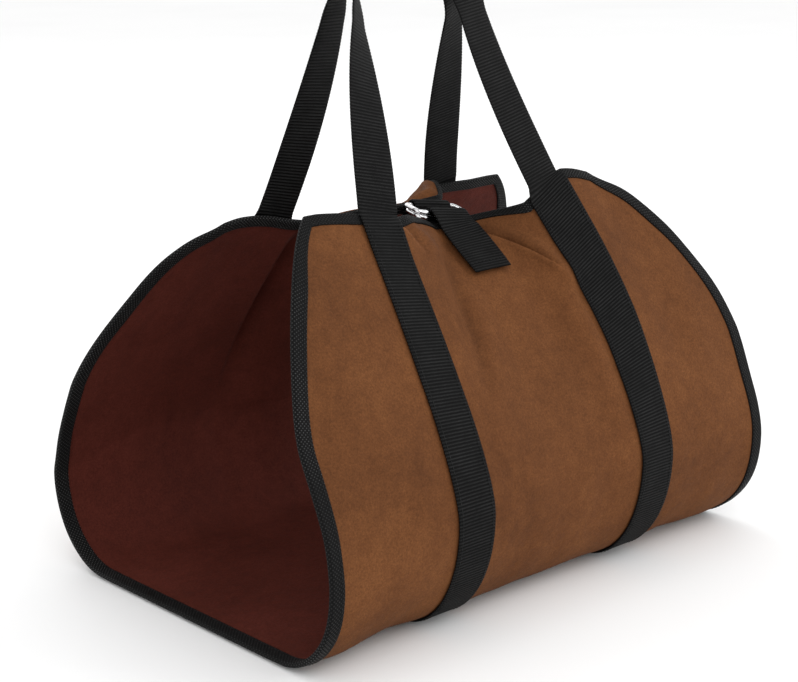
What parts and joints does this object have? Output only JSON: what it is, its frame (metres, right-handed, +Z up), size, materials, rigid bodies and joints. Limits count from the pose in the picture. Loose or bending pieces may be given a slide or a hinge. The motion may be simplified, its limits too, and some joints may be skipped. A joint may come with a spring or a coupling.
{
  "type": "log carrier",
  "caption": "Canvas sling for firewood, open at both ends, with taped edges, webbing straps that rise into carrying handles and a strap with metal rings that draws its mouth shut.",
  "frame": {"origin": "the hand grip, under the crown of the front handle", "axes": "+Z up, +X along the load from open end to open end, -Y towards the front panel with the closure strap's tail"},
  "size_m": [0.4526, 0.3262, 0.5273],
  "materials": {
    "canvas": "matte waxed canvas",
    "edge_tape": "woven tape",
    "webbing": "ribbed webbing",
    "ring_metal": "polished plating"
  },
  "bodies": {
    "root": {"canvas": "canvas", "edge_binding": "edge_tape", "front_strap": "webbing", "back_strap": "webbing", "closure_strap": "webbing", "ring_loop": "webbing", "d_ring_lower": "ring_metal", "d_ring_upper": "ring_metal"}
  },
  "joints": []
}
